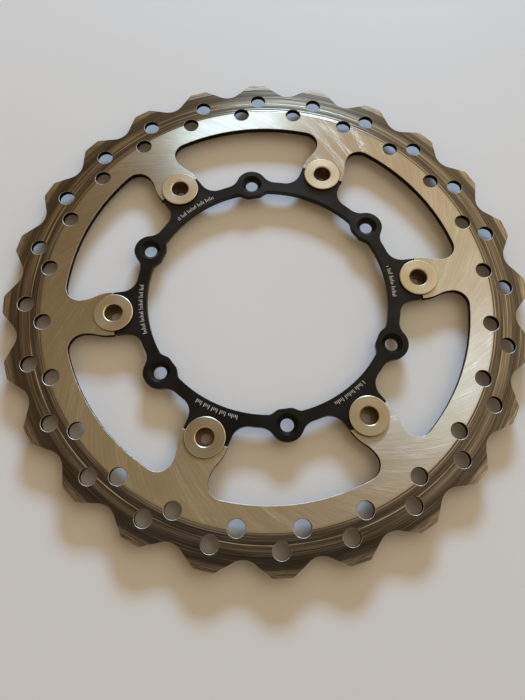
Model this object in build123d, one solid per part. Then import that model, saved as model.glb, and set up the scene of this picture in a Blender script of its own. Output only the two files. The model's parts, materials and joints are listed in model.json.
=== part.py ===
from build123d import *
from math import cos, radians, sin, sqrt, tan
import os

# Floating brake disc: a lobed steel ring hung on six bobbins from an aluminium carrier.
# Origin: disc axis in the plane of the carrier's six rear seats, which meet the hub.
# +Z points away from the hub, +X through the middle of bobbin 1.

arms = 6                # ring arms, bobbins, carrier lugs and bolt bosses
armStep = 360 / arms

seatRaise = 0.2         # the seats stand this much behind the two plates
plateThick = 3.0        # ring and carrier alike
plateTopZ = seatRaise + plateThick

# Brake ring
lobes = 24
lobeTipR = 130.0
lobeRootR = 123.0
lobeHollowR = 8.6       # radius of the bottom of the scoop between two lobes
lobeFlankAngle = 33.0   # degrees between a scoop's straight side and the rim
lobeCornerR = 2.0
lobeShift = -5.0        # degrees from an arm's middle to the nearest lobe
ventR = 4.0
ventOuterCircleR = 119.1
ventInnerCircleR = 110.65
ventChamfer = 0.25
windowR = 100.4         # outer arc of the windows
windowCornerR = 7.5
neckHalf = 8.8          # half width of an arm at its neck
hornHalf = 11.25        # half width of an arm at its horns
neckX = 91.0
hornX = 78.5
ringEdgeChamfer = 0.15

# Swept track worn into both faces of the ring: radius, depth
trackInnerR = 111.8
trackOuterR = 126.8
trackDepth = 0.10
ridgeDepth = 0.03
trackRidges = (112.6, 113.9, 117.2)
ridgeHalf = 0.25

# Carrier
bandOuterR = 65.9
boreR = 60.0
pilotR = 57.5           # the six pads that centre the disc on the hub
padHalfAngle = 2.1      # degrees
padFootAngle = 7.9      # degrees
boltCircleR = 65.0
bossR = 8.0
bossBlendR = 7.5
boltHoleR = 3.2
sinkR = 5.2             # mouth of the bolt holes' 90 degree countersink
seatR = 7.0
lugHalf = 11.05
lugBlendR = 8.0
lugCornerR = 0.6
carrierEdgeChamfer = 0.3

# Bobbins and what holds each one at the back
bobbinCircleR = 76.25
partingGap = 0.5        # between the lug tips and the horns
notchClear = 0.1
barrelR = 7.5
flangeR = 9.5
flangeThick = 1.25
flangeChamfer = 0.4
bobbinBoreR = 4.4
bobbinBoreChamfer = 0.5
bobbinFloorZ = -1.5
bobbinEyeR = 2.4
barrelEndZ = -3.1
barrelEndChamfer = 0.4

flatThick = 0.5
flatInnerR = 7.7
flatOuterR = 9.8
waveHeight = 0.9        # as fitted
waveThick = 0.3
waveInnerR = 7.75
waveOuterR = 9.3
waves = 3
waveSections = 8        # along half a wave

clipThick = 1.0
clipGrooveR = 7.15
clipGrooveWidth = 1.1
clipInnerR = 7.2
clipOuterR = 9.0
clipOffset = 0.35       # the clip is widest opposite its gap
clipGapHalf = 16.0      # degrees
clipEarR = 1.7
clipEarHoleR = 0.85
clipEarX = 9.2
clipEarAngle = 27.0

waveTopZ = seatRaise - flatThick
clipTopZ = waveTopZ - waveHeight
clipLowZ = clipTopZ - clipThick
notchR = barrelR + notchClear
throughSpare = 1.0      # cutters run past both faces by this much


def around(shape, count=arms, start=0.0):
    return [Rot(Z=start + k * 360 / count) * shape for k in range(count)]


def polar(radius, degrees):
    return (radius * cos(radians(degrees)), radius * sin(radians(degrees)))


def plate(outline, low=seatRaise, high=plateTopZ):
    return Pos(0, 0, low) * extrude(outline, high - low)


def through_hole(radius):
    return plate(Circle(radius), -throughSpare, plateTopZ + throughSpare)


def break_edges(body, size):
    faces = body.faces().sort_by(Axis.Z)
    return chamfer(faces[0].edges() + faces[-1].edges(), size)


# The scoop between two lobes: a round bottom with two straight sides that open outwards.
def lobe_scoop():
    middle = lobeRootR + lobeHollowR
    low = middle - lobeHollowR * cos(radians(lobeFlankAngle))
    half = lobeHollowR * sin(radians(lobeFlankAngle))
    high = middle + lobeHollowR
    wide = half + (high - low) / tan(radians(lobeFlankAngle))
    mouth = Polygon((low, -half), (high, -wide), (high, wide), (low, half), align=None)
    return Pos(middle, 0) * Circle(lobeHollowR) + mouth


# Round the outside of the ring: a disc with one scoop between each pair of lobes.
def ring_outside():
    disc = Circle(lobeTipR) - around(lobe_scoop(), lobes, lobeShift + 180 / lobes)
    corners = [v for v in disc.vertices() if Vector(v).length > lobeTipR - 0.01]
    return fillet(corners, lobeCornerR)


# One side of an arm, from the window's arc down to the horn's end.
def arm_side():
    cornerY = neckHalf + windowCornerR
    cornerX = sqrt((windowR - windowCornerR) ** 2 - cornerY ** 2)
    toArc = windowR / (windowR - windowCornerR)
    onWindow = (cornerX * toArc, cornerY * toArc)
    middle = ((neckX + hornX) / 2, (neckHalf + hornHalf) / 2)
    hornEndX = bobbinCircleR + partingGap / 2
    return [
        TangentArc((cornerX, neckHalf), onWindow, tangent=(1, 0)),
        Line((neckX, neckHalf), (cornerX, neckHalf)),
        TangentArc((neckX, neckHalf), middle, tangent=(-1, 0)),
        TangentArc((hornX, hornHalf), middle, tangent=(1, 0)),
        Line((hornX, hornHalf), (hornEndX, hornHalf)),
    ], onWindow, (hornEndX, hornHalf)


# The open inside of the ring: six window arcs joined by six arms that reach inwards.
def ring_inside():
    side, onWindow, hornEnd = arm_side()
    other = [mirror(edge, Plane.XZ) for edge in side]
    tip = Line(hornEnd, (hornEnd[0], -hornEnd[1]))
    last = Vector(onWindow[0], -onWindow[1]).rotate(Axis.Z, armStep)
    window = ThreePointArc(onWindow, polar(windowR, armStep / 2), last)
    edges = []
    for k in range(arms):
        for edge in side + other + [tip, window]:
            edges.append(Rot(Z=k * armStep) * edge)
    return make_face(edges)


def vent_hole():
    wide = ventR + ventChamfer
    top = Pos(0, 0, plateTopZ - ventChamfer / 2) * Cone(ventR, wide, ventChamfer)
    low = Pos(0, 0, seatRaise + ventChamfer / 2) * Cone(wide, ventR, ventChamfer)
    return through_hole(ventR) + top + low


# The metal that the pads have worn from one face, as a revolved section with low ridges left in it.
def worn_track():
    points = [(trackInnerR, throughSpare), (trackInnerR, 0.0)]
    for r in trackRidges:
        points.append((r - 2 * ridgeHalf, -trackDepth))
        points.append((r - ridgeHalf / 2, -ridgeDepth))
        points.append((r + ridgeHalf / 2, -ridgeDepth))
        points.append((r + 2 * ridgeHalf, -trackDepth))
    points.append((trackOuterR, -trackDepth))
    points.append((trackOuterR, throughSpare))
    section = make_face(Polyline([(r, 0, z) for r, z in points], close=True))
    return revolve(section, Axis.Z)


def brake_ring():
    body = break_edges(plate(ring_outside() - ring_inside()), ringEdgeChamfer)
    body -= around(Pos(bobbinCircleR, 0, 0) * through_hole(notchR))
    body -= around(Pos(ventOuterCircleR, 0, 0) * vent_hole(), lobes, lobeShift)
    body -= around(Pos(ventInnerCircleR, 0, 0) * vent_hole(), lobes)
    track = worn_track()
    body -= Pos(0, 0, plateTopZ) * track
    body -= Pos(0, 0, seatRaise) * mirror(track, Plane.XY)
    return body


# Whether a corner is where one of the others was before the shape was made again.
def among(corner, others):
    return min(Vector(corner).sub(Vector(other)).length for other in others) < 0.01


# Round the outside of the carrier: a band with six lugs and, between them, six bolt bosses.
def carrier_outside():
    band = Circle(bandOuterR)
    lugTipX = bobbinCircleR - partingGap / 2
    lug = Pos(lugTipX / 2, 0) * Rectangle(lugTipX, 2 * lugHalf)
    boss = Pos(boltCircleR, 0) * Circle(bossR)
    shape = band + around(lug) + around(boss, start=armStep / 2)
    tips = [v for v in shape.vertices() if Vector(v).length > lugTipX]
    shape = fillet(tips, lugCornerR)
    roots = [v for v in shape.vertices() if Vector(v).length < bandOuterR + 0.01]
    half = armStep / 2
    lugRoots = []
    for v in roots:
        fromLug = (Vector(v).get_angle(Vector(1, 0, 0)) + half) % armStep - half
        if abs(fromLug) < half / 2:
            lugRoots.append(v)
    bossRoots = [v for v in roots if v not in lugRoots]
    shape = fillet(lugRoots, lugBlendR)
    bossRoots = [v for v in shape.vertices() if among(v, bossRoots)]
    return fillet(bossRoots, bossBlendR)


# The carrier's bore, with a pad at each bolt that fits the hub's spigot and eases back into the band.
def carrier_inside():
    padEnd = polar(pilotR, padHalfAngle)
    bandEnd = polar(boreR, padFootAngle)
    ways = (polar(1, padHalfAngle + 90), polar(1, padFootAngle + 90))
    flank = Spline(padEnd, bandEnd, tangents=ways)
    pad = ThreePointArc(polar(pilotR, -padHalfAngle), (pilotR, 0), padEnd)
    band = ThreePointArc(bandEnd, polar(boreR, armStep / 2), polar(boreR, armStep - padFootAngle))
    edges = []
    for k in range(arms):
        for edge in (flank, mirror(flank, Plane.XZ), pad, band):
            edges.append(Rot(Z=(k + 0.5) * armStep) * edge)
    return make_face(edges)


def bolt_hole():
    depth = sinkR - boltHoleR
    sink = Pos(0, 0, plateTopZ - depth / 2) * Cone(boltHoleR, sinkR, depth)
    return through_hole(boltHoleR) + sink


def carrier():
    body = break_edges(plate(carrier_outside() - carrier_inside()), carrierEdgeChamfer)
    body += around(Pos(boltCircleR, 0, 0) * plate(Circle(seatR), 0, plateTopZ / 2), start=armStep / 2)
    body -= around(Pos(bobbinCircleR, 0, 0) * through_hole(notchR))
    body -= around(Pos(boltCircleR, 0, 0) * bolt_hole(), start=armStep / 2)
    return body


# A flanged bush turned in one piece, with a stepped bore and a groove for its clip.
def bobbin():
    topZ = plateTopZ + flangeThick
    grooveLow = clipLowZ
    grooveTop = grooveLow + clipGrooveWidth
    outline = [
        (bobbinEyeR, barrelEndZ),
        (barrelR - barrelEndChamfer, barrelEndZ),
        (barrelR, barrelEndZ + barrelEndChamfer),
        (barrelR, grooveLow),
        (clipGrooveR, grooveLow),
        (clipGrooveR, grooveTop),
        (barrelR, grooveTop),
        (barrelR, plateTopZ),
        (flangeR, plateTopZ),
        (flangeR, topZ - flangeChamfer),
        (flangeR - flangeChamfer, topZ),
        (bobbinBoreR + bobbinBoreChamfer, topZ),
        (bobbinBoreR, topZ - bobbinBoreChamfer),
        (bobbinBoreR, bobbinFloorZ),
        (bobbinEyeR, bobbinFloorZ),
    ]
    section = make_face(Polyline([(r, 0, z) for r, z in outline], close=True))
    return revolve(section, Axis.Z)


def flat_washer():
    return plate(Circle(flatOuterR) - Circle(flatInnerR), waveTopZ, seatRaise)


# Half a wave, from a crest to a trough, lofted through sections that stand on rays from the axis.
def half_wave():
    rise = (waveHeight - waveThick) / 2
    middleZ = waveTopZ - waveHeight / 2
    middleR = (waveInnerR + waveOuterR) / 2
    sections = []
    for i in range(waveSections + 1):
        turn = 180 / waves * i / waveSections
        z = middleZ + rise * cos(radians(waves * turn))
        place = Rot(Z=turn) * Pos(middleR, 0, z) * Rot(X=90)
        sections.append(place * Rectangle(waveOuterR - waveInnerR, waveThick))
    return loft(sections)


def wave_washer():
    half = half_wave()
    pair = half + mirror(half, Plane.XZ)
    third = 360 / waves
    return pair + Rot(Z=third) * pair + Rot(Z=2 * third) * pair


# An external circlip with its gap and its two ears towards the outside of the disc.
def retaining_clip():
    ring = Pos(-clipOffset, 0) * Circle(clipOuterR) - Circle(clipInnerR)
    reach = 2 * clipOuterR
    low = polar(reach, -clipGapHalf)
    high = polar(reach, clipGapHalf)
    ring -= make_face(Polyline((0, 0), low, high, close=True))
    for side in (-1, 1):
        ear = Rot(Z=side * clipEarAngle) * Pos(clipEarX, 0) * Circle(clipEarR)
        ring += ear - Circle(clipInnerR)
    for side in (-1, 1):
        ring -= Rot(Z=side * clipEarAngle) * Pos(clipEarX, 0) * Circle(clipEarHoleR)
    return plate(ring, clipLowZ, clipTopZ)


def save(shape, name):
    solids = shape.solids()
    export_step(solids[0] if len(solids) == 1 else Compound(solids), f"parts/{name}.step")
    print(name, len(solids), round(sum(s.volume for s in solids), 1))


os.makedirs("parts", exist_ok=True)
save(brake_ring(), "brake_ring")
save(carrier(), "carrier")
stack = {
    "bobbin": bobbin(),
    "flat_washer": flat_washer(),
    "wave_washer": wave_washer(),
    "retaining_clip": retaining_clip(),
}
for name, piece in stack.items():
    for k in range(arms):
        save(Rot(Z=k * armStep) * Pos(bobbinCircleR, 0, 0) * piece, f"{name}_{k + 1}")
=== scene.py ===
import bpy
import bmesh
import json
import random
from math import cos, pi, radians, sin
from mathutils import Euler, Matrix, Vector


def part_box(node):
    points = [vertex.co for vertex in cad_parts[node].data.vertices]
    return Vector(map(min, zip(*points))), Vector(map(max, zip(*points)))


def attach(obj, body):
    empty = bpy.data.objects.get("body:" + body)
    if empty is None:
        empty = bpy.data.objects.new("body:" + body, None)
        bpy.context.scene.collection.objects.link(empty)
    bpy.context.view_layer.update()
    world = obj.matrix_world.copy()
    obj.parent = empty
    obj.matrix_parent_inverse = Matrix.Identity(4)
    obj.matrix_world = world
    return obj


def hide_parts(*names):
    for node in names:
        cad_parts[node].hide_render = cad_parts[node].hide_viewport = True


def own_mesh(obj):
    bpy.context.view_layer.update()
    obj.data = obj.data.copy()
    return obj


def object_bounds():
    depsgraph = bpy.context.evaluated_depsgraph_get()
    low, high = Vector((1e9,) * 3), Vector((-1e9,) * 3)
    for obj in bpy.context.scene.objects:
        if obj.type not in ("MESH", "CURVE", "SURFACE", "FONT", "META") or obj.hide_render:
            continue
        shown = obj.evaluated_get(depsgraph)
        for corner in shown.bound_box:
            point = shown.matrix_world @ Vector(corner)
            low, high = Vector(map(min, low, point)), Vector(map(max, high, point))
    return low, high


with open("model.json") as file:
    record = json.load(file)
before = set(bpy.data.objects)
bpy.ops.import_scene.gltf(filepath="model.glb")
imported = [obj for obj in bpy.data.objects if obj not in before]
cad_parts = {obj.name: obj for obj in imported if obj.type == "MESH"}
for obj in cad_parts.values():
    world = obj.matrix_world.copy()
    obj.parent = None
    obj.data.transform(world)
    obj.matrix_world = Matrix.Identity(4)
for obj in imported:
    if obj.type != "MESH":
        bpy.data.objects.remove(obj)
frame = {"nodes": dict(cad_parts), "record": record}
cadBox = [list(corner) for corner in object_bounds()]
mm = 0.001

# what the frame says about the disc
ringLow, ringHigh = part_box("brake_ring")
bobbinLow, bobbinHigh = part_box("bobbin_1")
bobbinWidth = bobbinHigh.x - bobbinLow.x
waveLow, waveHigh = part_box("wave_washer_1")
boltCircle = [m for m in frame["record"]["mounts"] if m["name"] == "bolt_circle"][0]
stations = 6
stationRadius = (bobbinLow.x + bobbinHigh.x) / 2
boltRadius = boltCircle["dims"]["pcd_mm"] / 2 * mm
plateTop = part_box("carrier")[1].z
floorZ = cadBox[0][2]

# how far a face's normal turns to the axis: walls stay under the first, worn bevels under the second and
# broken edges under the third
wallLevel = 0.3
bevelLevel = 0.95
flatLevel = 0.985
print("frame loaded, disc", round(2000 * ringHigh.x, 1), "mm across")


# helpers for building node trees
def plug(tree, socket, value):
    if isinstance(value, bpy.types.NodeSocket):
        tree.links.new(value, socket)
    elif value is not None:
        socket.default_value = value


def addNode(tree, kind, settings=None, values=None):
    node = tree.nodes.new("ShaderNode" + kind)
    for name, value in (settings or {}).items():
        setattr(node, name, value)
    for name, value in (values or {}).items():
        plug(tree, node.inputs[name], value)
    return node


def calc(tree, operation, *terms, clamp=False):
    node = addNode(tree, "Math", {"operation": operation, "use_clamp": clamp})
    for socket, term in zip(node.inputs, terms):
        plug(tree, socket, term)
    return node.outputs[0]


def remap(tree, value, low, high, toLow=0.0, toHigh=1.0):
    node = addNode(tree, "MapRange", {"interpolation_type": "SMOOTHSTEP"})
    for socket, term in zip(node.inputs, (value, low, high, toLow, toHigh)):
        plug(tree, socket, term)
    return node.outputs[0]


def vector(tree, x, y, z):
    return addNode(tree, "CombineXYZ", values={"X": x, "Y": y, "Z": z}).outputs[0]


def noise(tree, spot, scale, detail=2.0, roughness=0.5):
    values = {"Vector": spot, "Scale": scale, "Detail": detail, "Roughness": roughness}
    return addNode(tree, "TexNoise", values=values).outputs[0]


def mixColour(tree, share, first, second):
    node = addNode(tree, "Mix", {"data_type": "RGBA", "clamp_factor": True})
    colours = [s for s in node.inputs if s.type == "RGBA"]
    plug(tree, node.inputs[0], share)
    for socket, colour in zip(colours, (first, second)):
        plug(tree, socket, colour if isinstance(colour, bpy.types.NodeSocket) else (*colour, 1))
    return [s for s in node.outputs if s.type == "RGBA"][0]


def coords(tree, space="Object"):
    return addNode(tree, "TexCoord").outputs[space]


def axesOf(tree, spot):
    return addNode(tree, "SeparateXYZ", values={"Vector": spot}).outputs


def lengthOf(tree, spot):
    return addNode(tree, "VectorMath", {"operation": "LENGTH"}, {0: spot}).outputs["Value"]


def directionOf(tree, spot):
    return addNode(tree, "VectorMath", {"operation": "NORMALIZE"}, {0: spot}).outputs["Vector"]


def ramp(tree, value, stops):
    node = addNode(tree, "ValToRGB", values={"Fac": value})
    elements = node.color_ramp.elements
    while len(elements) < len(stops):
        elements.new(1.0)
    for element, (position, colour) in zip(elements, stops):
        element.position = position
        element.color = (*colour, 1)
    return node.outputs[0]


def newGroup(name, inputs, outputs):
    group = bpy.data.node_groups.new(name, "ShaderNodeTree")
    for title, kind, value in inputs:
        socket = group.interface.new_socket(title, in_out="INPUT", socket_type="NodeSocket" + kind)
        if value is not None:
            socket.default_value = value
    for title, kind in outputs:
        group.interface.new_socket(title, in_out="OUTPUT", socket_type="NodeSocket" + kind)
    return group, group.nodes.new("NodeGroupInput").outputs, group.nodes.new("NodeGroupOutput").inputs


def useGroup(tree, group, values=None):
    return addNode(tree, "Group", {"node_tree": group}, values).outputs


# distance from the disc's axis in mm, and the unit vector that points out along that spoke
def makeDiscPolar():
    tree, _, out = newGroup("discPolar", [], [("Radius", "Float"), ("Spoke", "Vector")])
    axes = axesOf(tree, coords(tree))
    flat = vector(tree, axes["X"], axes["Y"], 0.0)
    plug(tree, out["Radius"], calc(tree, "MULTIPLY", lengthOf(tree, flat), 1 / mm))
    plug(tree, out["Spoke"], directionOf(tree, flat))
    return tree


# distance in mm from the nearest of several axes that stand evenly round the disc
def makeStationPolar():
    inputs = [("Circle", "Float", 65.0), ("Count", "Float", 6.0), ("First", "Float", 0.0)]
    tree, given, out = newGroup("stationPolar", inputs, [("Distance", "Float"), ("Spoke", "Vector")])
    axes = axesOf(tree, coords(tree))
    step = calc(tree, "DIVIDE", 2 * pi, given["Count"])
    angle = calc(tree, "SUBTRACT", calc(tree, "ARCTAN2", axes["Y"], axes["X"]), given["First"])
    turns = calc(tree, "ROUND", calc(tree, "DIVIDE", angle, step))
    folded = calc(tree, "SUBTRACT", angle, calc(tree, "MULTIPLY", turns, step))
    flat = vector(tree, axes["X"], axes["Y"], 0.0)
    radius = calc(tree, "MULTIPLY", lengthOf(tree, flat), 1 / mm)
    x = calc(tree, "SUBTRACT", calc(tree, "MULTIPLY", radius, calc(tree, "COSINE", folded)), given["Circle"])
    y = calc(tree, "MULTIPLY", radius, calc(tree, "SINE", folded))
    local = vector(tree, x, y, 0.0)
    plug(tree, out["Distance"], lengthOf(tree, local))
    spoke = axesOf(tree, directionOf(tree, local))
    plug(tree, out["Spoke"], vector(tree, spoke["X"], spoke["Y"], turns))
    return tree


# circles left by a lathe tool or by the pads: fast change along the radius, slow change round it
def makeTurnedRings():
    inputs = [("Distance", "Float", 0.0), ("Spoke", "Vector", None), ("Per mm", "Float", 3.0),
              ("Break-up", "Float", 2.0)]
    tree, given, out = newGroup("turnedRings", inputs, [("Rings", "Float")])
    spoke = addNode(tree, "VectorMath", {"operation": "SCALE"},
                    {0: given["Spoke"], "Scale": given["Break-up"]}).outputs["Vector"]
    across = vector(tree, 0.0, 0.0, calc(tree, "MULTIPLY", given["Distance"], given["Per mm"]))
    spot = addNode(tree, "VectorMath", {"operation": "ADD"}, {0: spoke, 1: across}).outputs["Vector"]
    plug(tree, out["Rings"], noise(tree, spot, 1.0, 3.0, 0.65))
    return tree


# arcs left by a cup wheel that sweeps over the disc: the same wheel circle, turned about the disc's axis.
# the strokes are the thin lines among them, heavier in some sweeps than in others. fine, stroke and sweep
# are times the density
arcShape = {
    "fine": 3.0, "stroke": 1.6, "sweep": 0.22, "perMm": 0.0006,
    "thin": (0.006, 0.034), "heavy": (0.36, 0.62), "lightest": 0.25,
}


def makeGrindArcs(shape):
    inputs = [("Radius", "Float", 90.0), ("Spoke", "Vector", None), ("Wheel radius", "Float", 150.0),
              ("Wheel offset", "Float", 90.0), ("Density", "Float", 60.0)]
    outputs = [("Fine", "Float"), ("Coarse", "Float"), ("Strokes", "Float")]
    tree, given, out = newGroup("grindArcs", inputs, outputs)
    radius2, offset2, wheel2 = [calc(tree, "MULTIPLY", given[title], given[title])
                                for title in ("Radius", "Wheel offset", "Wheel radius")]
    top = calc(tree, "SUBTRACT", calc(tree, "ADD", radius2, offset2), wheel2)
    under = calc(tree, "MULTIPLY", calc(tree, "MULTIPLY", given["Radius"], given["Wheel offset"]), 2.0)
    cosine = calc(tree, "MINIMUM", calc(tree, "MAXIMUM", calc(tree, "DIVIDE", top, under), -1.0), 1.0)
    sine = calc(tree, "SQRT", calc(tree, "SUBTRACT", 1.0, calc(tree, "MULTIPLY", cosine, cosine)))
    axes = axesOf(tree, given["Spoke"])
    x = calc(tree, "SUBTRACT", calc(tree, "MULTIPLY", axes["X"], cosine),
             calc(tree, "MULTIPLY", axes["Y"], sine))
    y = calc(tree, "ADD", calc(tree, "MULTIPLY", axes["X"], sine), calc(tree, "MULTIPLY", axes["Y"], cosine))
    spot = vector(tree, x, y, calc(tree, "MULTIPLY", given["Radius"], shape["perMm"]))
    fine = calc(tree, "MULTIPLY", given["Density"], shape["fine"])
    plug(tree, out["Fine"], noise(tree, spot, fine, 2.0, 0.7))
    plug(tree, out["Coarse"], noise(tree, spot, given["Density"], 1.0))
    drift = noise(tree, spot, calc(tree, "MULTIPLY", given["Density"], shape["stroke"]), 1.0)
    crossing = calc(tree, "ABSOLUTE", calc(tree, "SUBTRACT", drift, 0.5))
    line = remap(tree, crossing, *shape["thin"], 1.0, 0.0)
    sweep = noise(tree, spot, calc(tree, "MULTIPLY", given["Density"], shape["sweep"]), 1.0)
    heavy = remap(tree, sweep, *shape["heavy"], shape["lightest"], 1.0)
    plug(tree, out["Strokes"], calc(tree, "MULTIPLY", line, heavy))
    return tree


# where the broken edges are, between flat faces and upright walls, and how unevenly they are worn
def makeEdgeWear():
    inputs = [("Spread", "Float", 0.5)]
    outputs = [("Bevel", "Float"), ("Worn", "Float")]
    tree, given, out = newGroup("edgeWear", inputs, outputs)
    level = calc(tree, "ABSOLUTE", axesOf(tree, addNode(tree, "NewGeometry").outputs["True Normal"])["Z"])
    wall = calc(tree, "LESS_THAN", level, wallLevel)
    leaning = calc(tree, "LESS_THAN", level, bevelLevel)
    bevel = calc(tree, "MULTIPLY", leaning, calc(tree, "SUBTRACT", 1.0, wall))
    patchy = noise(tree, coords(tree), 260.0, 3.0, 0.6)
    worn = remap(tree, patchy, calc(tree, "SUBTRACT", 0.75, given["Spread"]), 0.75)
    plug(tree, out["Bevel"], bevel)
    plug(tree, out["Worn"], calc(tree, "MULTIPLY", bevel, worn))
    return tree


# handling marks: a soft uneven film, and small specks
def makeGrime():
    inputs = [("Film scale", "Float", 30.0), ("Speck scale", "Float", 900.0)]
    tree, given, out = newGroup("grime", inputs, [("Film", "Float"), ("Specks", "Float")])
    spot = coords(tree)
    plug(tree, out["Film"], remap(tree, noise(tree, spot, given["Film scale"], 4.0, 0.55), 0.35, 0.7))
    plug(tree, out["Specks"], remap(tree, noise(tree, spot, given["Speck scale"], 1.0), 0.68, 0.76))
    return tree


discPolar = makeDiscPolar()
stationPolar = makeStationPolar()
turnedRings = makeTurnedRings()
grindArcs = makeGrindArcs(arcShape)
edgeWear = makeEdgeWear()
grime = makeGrime()
print("shared effects made")


def newFinish(name, look):
    material = bpy.data.materials.new(name)
    material.use_nodes = True
    tree = material.node_tree
    shader = tree.nodes["Principled BSDF"]
    for title in ("Metallic", "Roughness", "Anisotropic", "Anisotropic Rotation", "IOR"):
        if title in look:
            shader.inputs[title].default_value = look[title]
    return material, tree, shader


# the looks give a bump as its strength and its depth
def addBump(tree, shader, height, strength, distance):
    values = {"Height": height, "Strength": strength, "Distance": distance}
    plug(tree, shader.inputs["Normal"], addNode(tree, "Bump", values=values).outputs[0])


def scaled(tree, value, low, high):
    return calc(tree, "MULTIPLY_ADD", value, high - low, low)


def turned(tree, distance, spoke, perMm, breakUp=2.0):
    values = {"Distance": distance, "Spoke": spoke, "Per mm": perMm, "Break-up": breakUp}
    return useGroup(tree, turnedRings, values)["Rings"]


# ring arms and web: ground flat, with the grinding arcs left in it, and painted shade darkening it in a ring
# round the foot of each bobbin.
# the painted shade's span is given in mm from a bobbin's axis, and fade's in mm from the disc's
webLook = {
    "Metallic": 1.0, "Anisotropic": 0.85, "Anisotropic Rotation": 0.136,
    "steel": (0.47, 0.42, 0.335), "bright": (0.55, 0.50, 0.41), "stainAndShade": (0.42, 0.36, 0.27),
    "stroke": (0.82, 0.77, 0.67), "strokeShare": 0.5, "stainShare": 0.35, "footShadeShare": 0.5,
    "markedZone": (9.4, 11.6), "fade": (110.2, 112.2), "roughness": (0.41, 0.49), "bump": (0.75, 0.02 * mm),
}


def makeWebSteel(look):
    material, tree, shader = newFinish("webSteel", look)
    polar = useGroup(tree, discPolar)
    arcs = useGroup(tree, grindArcs, {"Radius": polar["Radius"], "Spoke": polar["Spoke"]})
    dirt = useGroup(tree, grime, {"Film scale": 38.0})
    lines = calc(tree, "ADD", calc(tree, "MULTIPLY", arcs["Fine"], 0.6),
                 calc(tree, "MULTIPLY", arcs["Coarse"], 0.4))
    colour = mixColour(tree, remap(tree, lines, 0.38, 0.66), look["steel"], look["bright"])
    struck = calc(tree, "MULTIPLY", arcs["Strokes"], look["strokeShare"])
    colour = mixColour(tree, struck, colour, look["stroke"])
    colour = mixColour(tree, calc(tree, "MULTIPLY", dirt["Film"], look["stainShare"]), colour, look["stainAndShade"])
    # painted shade: the web darkens in a ring round the foot of each bobbin, mixed towards the stain colour
    nearBobbin = useGroup(tree, stationPolar, {"Circle": stationRadius / mm})["Distance"]
    markedZone = remap(tree, nearBobbin, *look["markedZone"], look["footShadeShare"], 0.0)
    colour = mixColour(tree, markedZone, colour, look["stainAndShade"])
    colour = mixColour(tree, remap(tree, polar["Radius"], *look["fade"]), colour, look["stainAndShade"])
    plug(tree, shader.inputs["Base Color"], colour)
    plug(tree, shader.inputs["Roughness"], scaled(tree, arcs["Fine"], *look["roughness"]))
    addBump(tree, shader, calc(tree, "ADD", lines, arcs["Strokes"]), *look["bump"])
    return material


# the band that the pads have swept: brown and grey circles, darkest towards its outer edge.
# bands run from 0 at the inner radius to 1 at the outer one, and faces between from and to are in the track
trackLook = {
    "Metallic": 1.0, "Anisotropic": 0.6, "Anisotropic Rotation": 0.25,
    "inner": 111.8, "outer": 126.8, "from": 109.8, "to": 127.0, "sunk": 0.02 * mm, "ridgeLevel": 0.9,
    "tint": (1.12, 0.96, 0.74), "wander": 0.02,
    "bands": [
        (0.00, 0.22), (0.025, 0.16), (0.048, 0.22), (0.062, 0.52), (0.078, 0.20), (0.13, 0.15),
        (0.25, 0.10), (0.315, 0.15), (0.333, 0.62), (0.350, 0.17), (0.42, 0.17), (0.48, 0.29),
        (0.55, 0.20), (0.61, 0.17), (0.66, 0.10), (0.75, 0.095), (0.86, 0.115), (0.94, 0.10), (1.00, 0.18),
    ],
    "dark": (0.055, 0.046, 0.035), "pale": (0.52, 0.47, 0.38),
    "roughness": (0.24, 0.36), "bump": (0.3, 0.03 * mm),
}


def makeTrackSteel(look):
    material, tree, shader = newFinish("trackSteel", look)
    polar = useGroup(tree, discPolar)
    across = calc(tree, "DIVIDE", calc(tree, "SUBTRACT", polar["Radius"], look["inner"]),
                  look["outer"] - look["inner"], clamp=True)
    wander = noise(tree, polar["Spoke"], 1.6, 1.0)
    across = calc(tree, "ADD", across, scaled(tree, wander, -look["wander"], look["wander"]))
    fine = turned(tree, polar["Radius"], polar["Spoke"], 2.2)
    wide = turned(tree, polar["Radius"], polar["Spoke"], 0.9, 3.0)
    colour = ramp(tree, across, [(t, [value * c for c in look["tint"]]) for t, value in look["bands"]])
    colour = mixColour(tree, remap(tree, fine, 0.50, 0.34, 0.0, 0.85), colour, look["dark"])
    colour = mixColour(tree, remap(tree, fine, 0.56, 0.68, 0.0, 0.45), colour, look["pale"])
    colour = mixColour(tree, remap(tree, wide, 0.44, 0.62, 0.0, 0.5), colour, look["dark"])
    plug(tree, shader.inputs["Base Color"], colour)
    plug(tree, shader.inputs["Roughness"], scaled(tree, fine, *look["roughness"]))
    addBump(tree, shader, fine, *look["bump"])
    return material


# lobe tips outside the track: ground like the web, then smeared by the pads' edges in short strokes
tipLook = {
    "Metallic": 1.0, "Anisotropic": 0.4, "Anisotropic Rotation": 0.25,
    "steel": (0.34, 0.285, 0.22), "smear": (0.15, 0.125, 0.095), "pale": (0.52, 0.47, 0.39),
    "smeared": (126.8, 127.8), "roughness": (0.28, 0.41), "bump": (0.15, 0.03 * mm),
}


def makeTipSteel(look):
    material, tree, shader = newFinish("tipSteel", look)
    polar = useGroup(tree, discPolar)
    strokes = turned(tree, polar["Radius"], polar["Spoke"], 2.2, 14.0)
    colour = mixColour(tree, remap(tree, strokes, 0.46, 0.60), look["steel"], look["smear"])
    colour = mixColour(tree, remap(tree, strokes, 0.40, 0.32, 0.0, 0.8), colour, look["pale"])
    colour = mixColour(tree, remap(tree, polar["Radius"], *look["smeared"], 0.5, 0.0), colour, look["smear"])
    plug(tree, shader.inputs["Base Color"], colour)
    plug(tree, shader.inputs["Roughness"], scaled(tree, strokes, *look["roughness"]))
    addBump(tree, shader, strokes, *look["bump"])
    return material
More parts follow.
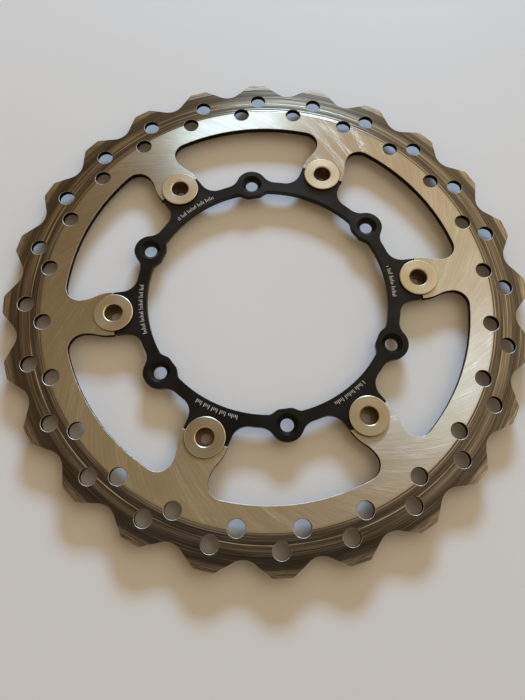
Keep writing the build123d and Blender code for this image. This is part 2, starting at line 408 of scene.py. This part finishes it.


# cut walls of the ring, coloured near black as painted shade over the cut's own dark burn, with the upright
# streaks of the cut and a dark film in the vents
cutLook = {
    "Metallic": 1.0, "shadedCut": (0.035, 0.031, 0.028), "burntAndShaded": (0.009, 0.008, 0.008),
    "stretch": (1.0, 1.0, 0.06), "roughness": (0.6, 0.8), "bump": (0.35, 0.05 * mm),
}


def makeCutSteel(look):
    material, tree, shader = newFinish("cutSteel", look)
    upright = addNode(tree, "Mapping", values={"Vector": coords(tree), "Scale": look["stretch"]})
    streaks = noise(tree, upright.outputs[0], 1500.0, 2.0, 0.6)
    film = useGroup(tree, grime, {"Film scale": 120.0})["Film"]
    # painted shade: both wall colours are near black, over the cut's own dark burn
    colour = mixColour(tree, remap(tree, streaks, 0.35, 0.65), look["burntAndShaded"], look["shadedCut"])
    colour = mixColour(tree, calc(tree, "MULTIPLY", film, 0.5), colour, look["burntAndShaded"])
    plug(tree, shader.inputs["Base Color"], colour)
    plug(tree, shader.inputs["Roughness"], scaled(tree, streaks, *look["roughness"]))
    addBump(tree, shader, streaks, *look["bump"])
    return material


# broken edges of the ring and round the vents: bright, but too rough to mirror the window
bevelLook = {
    "Metallic": 1.0, "bright": (0.60, 0.575, 0.53), "dull": (0.38, 0.355, 0.31),
    "roughness": (0.56, 0.72), "bump": (0.1, 0.02 * mm),
}


def makeBevelSteel(look):
    material, tree, shader = newFinish("bevelSteel", look)
    patchy = noise(tree, coords(tree), 420.0, 3.0, 0.6)
    colour = mixColour(tree, remap(tree, patchy, 0.42, 0.64), look["bright"], look["dull"])
    plug(tree, shader.inputs["Base Color"], colour)
    plug(tree, shader.inputs["Roughness"], scaled(tree, patchy, *look["roughness"]))
    addBump(tree, shader, patchy, *look["bump"])
    return material


# ridge flanks in the track lie nearly flat, while a vent's bevel leans 45 degrees
def paintRing(ring):
    finishes = [makeWebSteel(webLook), makeTrackSteel(trackLook), makeTipSteel(tipLook),
                makeCutSteel(cutLook), makeBevelSteel(bevelLook)]
    ring.data.materials.clear()
    for finish in finishes:
        ring.data.materials.append(finish)
    web, track, tip, cut, bevel = range(len(finishes))
    for face in ring.data.polygons:
        level = abs(face.normal.z)
        radius = Vector(face.center[:2]).length / mm
        depth = min(ringHigh.z - face.center.z, face.center.z - ringLow.z)
        inTrack = trackLook["from"] < radius < trackLook["to"] and depth > trackLook["sunk"]
        if level < wallLevel:
            face.material_index = cut
        elif level < flatLevel and not (inTrack and level > trackLook["ridgeLevel"]):
            face.material_index = bevel
        elif inTrack:
            face.material_index = track
        elif radius > trackLook["outer"]:
            face.material_index = tip
        else:
            face.material_index = web


paintRing(frame["nodes"]["brake_ring"])
print("brake ring finished")

# carrier: satin black anodised, a little polished at its edges, with lathe rings in its bolt seats,
# whose radius in mm is sink, and painted shade darkening those seats
carrierLook = {
    "Metallic": 0.0, "IOR": 1.29,
    "black": (0.005, 0.0045, 0.0045), "haze": (0.010, 0.009, 0.0085), "edge": (0.019, 0.0175, 0.017),
    "shadedSeat": (0.003, 0.003, 0.003), "sink": 5.2, "sinkSoft": 0.15,
    "seatShadeShare": 0.8, "speckShare": 0.3, "wornShare": 0.5, "bevelShare": 0.35,
    "roughness": (0.28, 0.40), "bump": (0.12, 0.04 * mm), "grainHeight": 0.4, "ringHeight": 1.5,
}


def makeCarrierBlack(look):
    material, tree, shader = newFinish("carrierBlack", look)
    grain = noise(tree, coords(tree), 2600.0, 2.0, 0.6)
    dirt = useGroup(tree, grime, {"Film scale": 55.0, "Speck scale": 1300.0})
    edges = useGroup(tree, edgeWear, {"Spread": 0.4})
    bolt = useGroup(tree, stationPolar, {"Circle": boltRadius / mm, "First": pi / stations})
    rings = turned(tree, bolt["Distance"], bolt["Spoke"], 4.0)
    # painted shade: the recessed bolt seats are coloured darker than the face
    shadedSeat = remap(tree, bolt["Distance"], look["sink"], look["sink"] - look["sinkSoft"])
    colour = mixColour(tree, dirt["Film"], look["black"], look["haze"])
    colour = mixColour(tree, calc(tree, "MULTIPLY", shadedSeat, look["seatShadeShare"]), colour, look["shadedSeat"])
    specks = calc(tree, "MULTIPLY", dirt["Specks"], look["speckShare"])
    colour = mixColour(tree, specks, colour, look["edge"])
    notSeat = calc(tree, "SUBTRACT", 1.0, shadedSeat)
    bare = calc(tree, "MULTIPLY_ADD", edges["Worn"], look["wornShare"],
                calc(tree, "MULTIPLY", edges["Bevel"], look["bevelShare"]))
    colour = mixColour(tree, calc(tree, "MULTIPLY", bare, notSeat), colour, look["edge"])
    plug(tree, shader.inputs["Base Color"], colour)
    plug(tree, shader.inputs["Roughness"], scaled(tree, dirt["Film"], *look["roughness"]))
    height = calc(tree, "ADD", calc(tree, "MULTIPLY", grain, look["grainHeight"]),
                  calc(tree, "MULTIPLY", calc(tree, "MULTIPLY", rings, shadedSeat), look["ringHeight"]))
    addBump(tree, shader, height, *look["bump"])
    return material


carrierBlack = makeCarrierBlack(carrierLook)
frame["nodes"]["carrier"].data.materials.clear()
frame["nodes"]["carrier"].data.materials.append(carrierBlack)
print("carrier finished")


# distance in mm from a round piece's own axis, and the direction out from it, for a piece of the given width
def ownPolar(tree, size):
    middle = (0.5, 0.5, 0.5)
    centred = addNode(tree, "VectorMath", {"operation": "SUBTRACT"},
                      {0: coords(tree, "Generated"), 1: middle})
    axes = axesOf(tree, centred.outputs["Vector"])
    flat = vector(tree, axes["X"], axes["Y"], 0.0)
    return calc(tree, "MULTIPLY", lengthOf(tree, flat), size / mm), directionOf(tree, flat)


# bobbins: turned, pale champagne anodised, with every broken edge lighter, partly the lathe's bright cut and
# partly a painted highlight, and with painted shade down the bore and on the flange's side wall at the rim.
# the two radii are in mm
bobbinLook = {
    "Metallic": 1.0, "Anisotropic": 0.25, "Anisotropic Rotation": 0.25,
    "champagne": (0.54, 0.475, 0.355), "deep": (0.45, 0.39, 0.285), "edge": (0.86, 0.79, 0.64),
    "bore": (0.24, 0.18, 0.11), "boreRadius": 4.42, "rim": (0.09, 0.07, 0.045), "rimRadius": 9.44,
    "filmShare": 0.25, "wornShare": 0.3, "bevelShare": 0.7,
    "roughness": (0.33, 0.43), "bump": (0.18, 0.03 * mm),
}


def makeBobbinMetal(look):
    material, tree, shader = newFinish("bobbinMetal", look)
    distance, spoke = ownPolar(tree, bobbinWidth)
    rings = turned(tree, distance, spoke, 5.0, 0.8)
    edges = useGroup(tree, edgeWear, {"Spread": 0.6})
    dirt = useGroup(tree, grime, {"Film scale": 130.0})
    colour = mixColour(tree, remap(tree, rings, 0.36, 0.64), look["deep"], look["champagne"])
    colour = mixColour(tree, calc(tree, "MULTIPLY", dirt["Film"], look["filmShare"]), colour, look["deep"])
    # painted highlight over the lathe's bright cut: every broken edge is coloured lighter
    bright = calc(tree, "MULTIPLY_ADD", edges["Worn"], look["wornShare"],
                  calc(tree, "MULTIPLY", edges["Bevel"], look["bevelShare"]))
    colour = mixColour(tree, bright, colour, look["edge"])
    # painted shade down the bore and on the flange's side wall
    colour = mixColour(tree, calc(tree, "LESS_THAN", distance, look["boreRadius"]), colour, look["bore"])
    colour = mixColour(tree, calc(tree, "GREATER_THAN", distance, look["rimRadius"]), colour, look["rim"])
    plug(tree, shader.inputs["Base Color"], colour)
    plug(tree, shader.inputs["Roughness"], scaled(tree, rings, *look["roughness"]))
    addBump(tree, shader, rings, *look["bump"])
    return material


# flat washers: plain bright steel, blanked and tumbled
flatLook = {
    "Metallic": 1.0, "steel": (0.58, 0.56, 0.53), "dull": (0.36, 0.34, 0.31), "roughness": (0.25, 0.45),
    "bump": (0.2, 0.02 * mm),
}


def makeWasherSteel(look):
    material, tree, shader = newFinish("washerSteel", look)
    distance, spoke = ownPolar(tree, bobbinWidth)
    rings = turned(tree, distance, spoke, 4.0, 3.0)
    dirt = useGroup(tree, grime, {"Film scale": 200.0, "Speck scale": 1600.0})
    colour = mixColour(tree, dirt["Film"], look["steel"], look["dull"])
    colour = mixColour(tree, calc(tree, "MULTIPLY", dirt["Specks"], 0.5), colour, look["dull"])
    plug(tree, shader.inputs["Base Color"], colour)
    plug(tree, shader.inputs["Roughness"], scaled(tree, rings, *look["roughness"]))
    addBump(tree, shader, rings, *look["bump"])
    return material


# retaining clips: black phosphated spring steel, rubbed back to bare metal along the edges
clipLook = {
    "Metallic": 0.85, "black": (0.055, 0.053, 0.052), "bare": (0.32, 0.30, 0.28),
    "filmShare": 0.45, "speckShare": 0.6, "roughness": (0.38, 0.60), "bump": (0.3, 0.03 * mm),
}


def makeClipSteel(look):
    material, tree, shader = newFinish("clipSteel", look)
    crystals = noise(tree, coords(tree), 3200.0, 2.0, 0.7)
    markedZone = useGroup(tree, grime, {"Film scale": 420.0, "Speck scale": 2400.0})
    film = calc(tree, "MULTIPLY", markedZone["Film"], look["filmShare"])
    colour = mixColour(tree, film, look["black"], look["bare"])
    specks = calc(tree, "MULTIPLY", markedZone["Specks"], look["speckShare"])
    colour = mixColour(tree, specks, colour, look["bare"])
    plug(tree, shader.inputs["Base Color"], colour)
    plug(tree, shader.inputs["Roughness"], scaled(tree, crystals, *look["roughness"]))
    addBump(tree, shader, crystals, *look["bump"])
    return material


for finish, family in ((makeBobbinMetal(bobbinLook), "bobbin"), (makeWasherSteel(flatLook), "flat_washer"),
                       (makeClipSteel(clipLook), "retaining_clip")):
    for k in range(stations):
        part = frame["nodes"][f"{family}_{k + 1}"]
        part.data.materials.clear()
        part.data.materials.append(finish)
print("bobbins, flat washers and clips finished")

# wave washers: blued spring steel strip, rounded at its edges; the real ones flatten as the ring moves to
# the rear, but these meshes keep their waves.
# round is the number of steps round the washer, and play is what it gives up when flat
waveSprings = {
    "Metallic": 1.0, "inner": 7.75 * mm, "outer": 9.3 * mm, "thick": 0.3 * mm, "waves": 3,
    "round": 96, "edgeRadius": 0.07 * mm, "play": 0.25 * mm,
    "blue": (0.16, 0.19, 0.26), "straw": (0.34, 0.25, 0.15),
    "roughness": (0.22, 0.38), "bump": (0.15, 0.02 * mm),
}


def makeSpringSteel(look):
    material, tree, shader = newFinish("springSteel", look)
    distance, spoke = ownPolar(tree, 2 * look["outer"])
    rings = turned(tree, distance, spoke, 6.0, 1.0)
    heat = noise(tree, spoke, 1.4, 2.0)
    colour = mixColour(tree, remap(tree, heat, 0.38, 0.62), look["blue"], look["straw"])
    plug(tree, shader.inputs["Base Color"], colour)
    plug(tree, shader.inputs["Roughness"], scaled(tree, rings, *look["roughness"]))
    addBump(tree, shader, rings, *look["bump"])
    return material


def makeWaveWasher(k, look, finish):
    mesh = bmesh.new()
    half = look["thick"] / 2
    soft = look["edgeRadius"]
    rise = (waveHigh.z - waveLow.z) / 2 - half
    middle = (waveHigh.z + waveLow.z) / 2
    section = []
    for r, z, turn in ((look["outer"], half, 0), (look["inner"], half, 90), (look["inner"], -half, 180),
                       (look["outer"], -half, 270)):
        inR = r - soft if r == look["outer"] else r + soft
        inZ = z - soft if z > 0 else z + soft
        for step in (0, 45, 90):
            angle = radians(turn + step)
            section.append((inR + soft * cos(angle), inZ + soft * sin(angle)))
    rows = []
    for i in range(look["round"]):
        angle = 2 * pi * i / look["round"]
        lift = middle + rise * cos(look["waves"] * angle)
        rows.append([mesh.verts.new((r * cos(angle), r * sin(angle), lift + z)) for r, z in section])
    for i in range(look["round"]):
        here, following = rows[i - 1], rows[i]
        for j in range(len(section)):
            mesh.faces.new((here[j - 1], following[j - 1], following[j], here[j]))
    bmesh.ops.recalc_face_normals(mesh, faces=mesh.faces)
    data = bpy.data.meshes.new(f"waveSpring_{k + 1}")
    mesh.to_mesh(data)
    mesh.free()
    for face in data.polygons:
        face.use_smooth = True
    piece = bpy.data.objects.new(f"waveSpring_{k + 1}", data)
    bpy.context.scene.collection.objects.link(piece)
    turn = 2 * pi * k / stations
    piece.location = (stationRadius * cos(turn), stationRadius * sin(turn), 0)
    piece.rotation_euler = (0, 0, turn)
    data.materials.append(finish)
    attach(piece, f"bobbin_stack_{k + 1}")
    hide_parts(f"wave_washer_{k + 1}")
    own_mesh(piece)


springSteel = makeSpringSteel(waveSprings)
for k in range(stations):
    makeWaveWasher(k, waveSprings, springSteel)
print("wave washers made")

# pale laser marks on five of the carrier's lugs: ticks of a plain gauge in short groups, with no letters or
# numbers. spans are half angles in degrees, by the lug's own angle
marks = {
    "middle": 63.05 * mm, "tall": 2.1 * mm, "short": 0.62, "stroke": 0.36 * mm, "pitch": 0.80 * mm,
    "sunk": 0.003 * mm, "proud": 0.012 * mm,
    "spans": {0: 10.0, 60: 12.0, 120: 9.7, 180: 7.8, 240: 7.5}, "group": (4, 7), "tallEvery": 3,
    "pale": (0.62, 0.60, 0.57), "faded": (0.25, 0.24, 0.22),
    "roughness": (0.55, 0.8), "bump": (0.2, 0.01 * mm),
}


def makeMarkPaint(look):
    material, tree, shader = newFinish("laserMark", {"Metallic": 0.0})
    dots = noise(tree, coords(tree), 2400.0, 2.0, 0.7)
    patchy = noise(tree, coords(tree), 260.0, 1.0)
    share = calc(tree, "MULTIPLY", remap(tree, dots, 0.34, 0.6), remap(tree, patchy, 0.3, 0.6, 0.6, 1.0))
    plug(tree, shader.inputs["Base Color"], mixColour(tree, share, look["faded"], look["pale"]))
    plug(tree, shader.inputs["Roughness"], scaled(tree, dots, *look["roughness"]))
    addBump(tree, shader, dots, *look["bump"])
    return material


def addStroke(mesh, look, angle, radius, tall):
    wide = look["stroke"]
    corners = [(-wide / 2, -tall / 2), (wide / 2, -tall / 2), (wide / 2, tall / 2), (-wide / 2, tall / 2)]
    around, out = Vector((-sin(angle), cos(angle))), Vector((cos(angle), sin(angle)))
    rows = []
    for z in (plateTop - look["sunk"], plateTop + look["proud"]):
        spots = [out * (radius + y) + around * x for x, y in corners]
        rows.append([mesh.verts.new((spot.x, spot.y, z)) for spot in spots])
    mesh.faces.new(rows[0][::-1])
    mesh.faces.new(rows[1])
    for i in range(4):
        mesh.faces.new((rows[0][i - 1], rows[0][i], rows[1][i], rows[1][i - 1]))


def makeMarks(lug, span, look, finish):
    mesh = bmesh.new()
    dice = random.Random(lug + 7)
    tall, middle = look["tall"], look["middle"]
    count = int(2 * radians(span) * middle / look["pitch"])
    left = dice.randint(*look["group"])
    for i in range(count + 1):
        if left == 0:
            left = dice.randint(*look["group"])
            continue
        angle = radians(lug) + (i / count - 0.5) * 2 * radians(span)
        size = tall if left % look["tallEvery"] == 1 else tall * look["short"]
        addStroke(mesh, look, angle, middle + (size - tall) / 2, size)
        left -= 1
    data = bpy.data.meshes.new(f"gaugeMarks_{lug}")
    mesh.to_mesh(data)
    mesh.free()
    data.materials.append(finish)
    piece = bpy.data.objects.new(f"gaugeMarks_{lug}", data)
    bpy.context.scene.collection.objects.link(piece)
    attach(piece, "carrier")


markPaint = makeMarkPaint(marks)
for lug, span in marks["spans"].items():
    makeMarks(lug, span, marks, markPaint)
print("gauge marks made")

# the table that the disc lies on
table = {"half": 2.5, "pale": (0.745, 0.755, 0.79), "warm": (0.71, 0.71, 0.73), "roughness": 0.75}


def makeTable(look):
    material, tree, shader = newFinish("paleTable", {"Roughness": look["roughness"]})
    colour = mixColour(tree, noise(tree, coords(tree), 9.0, 3.0), look["pale"], look["warm"])
    plug(tree, shader.inputs["Base Color"], colour)
    half = look["half"]
    data = bpy.data.meshes.new("table")
    corners = [(-half, -half, 0), (half, -half, 0), (half, half, 0), (-half, half, 0)]
    data.from_pydata(corners, [], [(0, 1, 2, 3)])
    data.materials.append(material)
    piece = bpy.data.objects.new("table", data)
    piece.location = (0, 0, floorZ)
    bpy.context.scene.collection.objects.link(piece)


makeTable(table)

# a wide low window light, and the warm room round it, which glows on one side and has a dark ceiling
studio = {
    "windowTurn": -44.0, "windowRise": 17.3, "windowAway": 3.0, "windowSize": (1.1, 0.34),
    "windowColour": (0.50, 0.725, 1.0), "windowPower": 123.0,
    "room": (0.38, 0.265, 0.135),
    "glow": (1.22, 1.03, 0.72), "glowTurn": -88.0, "glowRise": 40.0, "glowFrom": (0.5, 1.0),
    "ceiling": 0.28, "ceilingFrom": (0.86, 0.99),
}


# unit vector at a turn round the disc's axis and a rise above its face, both in degrees
def directionAt(turn, rise):
    turn, rise = radians(turn), radians(rise)
    return Vector((cos(rise) * cos(turn), cos(rise) * sin(turn), sin(rise)))


def pointAt(piece, spot):
    piece.rotation_euler = (spot - piece.location).to_track_quat("-Z", "Y").to_euler()


def makeStudio(look):
    data = bpy.data.lights.new("windowLight", "AREA")
    data.shape = "RECTANGLE"
    data.size, data.size_y = look["windowSize"]
    data.color = look["windowColour"]
    data.energy = look["windowPower"]
    lamp = bpy.data.objects.new("windowLight", data)
    lamp.location = directionAt(look["windowTurn"], look["windowRise"]) * look["windowAway"]
    pointAt(lamp, Vector((0, 0, 0)))
    bpy.context.scene.collection.objects.link(lamp)
    world = bpy.data.worlds.new("warmRoom")
    bpy.context.scene.world = world
    world.use_nodes = True
    tree = world.node_tree
    way = coords(tree, "Generated")
    centre = directionAt(look["glowTurn"], look["glowRise"])
    near = addNode(tree, "VectorMath", {"operation": "DOT_PRODUCT"}, {0: way, 1: centre}).outputs["Value"]
    colour = mixColour(tree, remap(tree, near, *look["glowFrom"]), look["room"], look["glow"])
    up = axesOf(tree, way)["Z"]
    back = tree.nodes["Background"]
    plug(tree, back.inputs["Color"], colour)
    plug(tree, back.inputs["Strength"], remap(tree, up, *look["ceilingFrom"], 1.0, look["ceiling"]))


makeStudio(studio)
bpy.context.scene.view_settings.view_transform = "Standard"

# the camera looks down over the disc from beside bobbin 3
view = {"aim": (-20.92, 19.75), "turn": 139.31, "rise": 72.18, "away": 252.54, "roll": 3.2375, "lens": 27.06}


def makeCamera(look):
    data = bpy.data.cameras.new("camera")
    data.lens = look["lens"]
    data.sensor_width = 36
    data.clip_start = 0.01
    camera = bpy.data.objects.new("camera", data)
    aim = Vector((look["aim"][0] * mm, look["aim"][1] * mm, plateTop))
    camera.location = aim + directionAt(look["turn"], look["rise"]) * look["away"] * mm
    straight = (aim - camera.location).to_track_quat("-Z", "Y")
    camera.rotation_euler = (straight @ Euler((0, 0, radians(look["roll"]))).to_quaternion()).to_euler()
    bpy.context.scene.collection.objects.link(camera)
    bpy.context.scene.camera = camera


makeCamera(view)
print("table, lights and camera set")
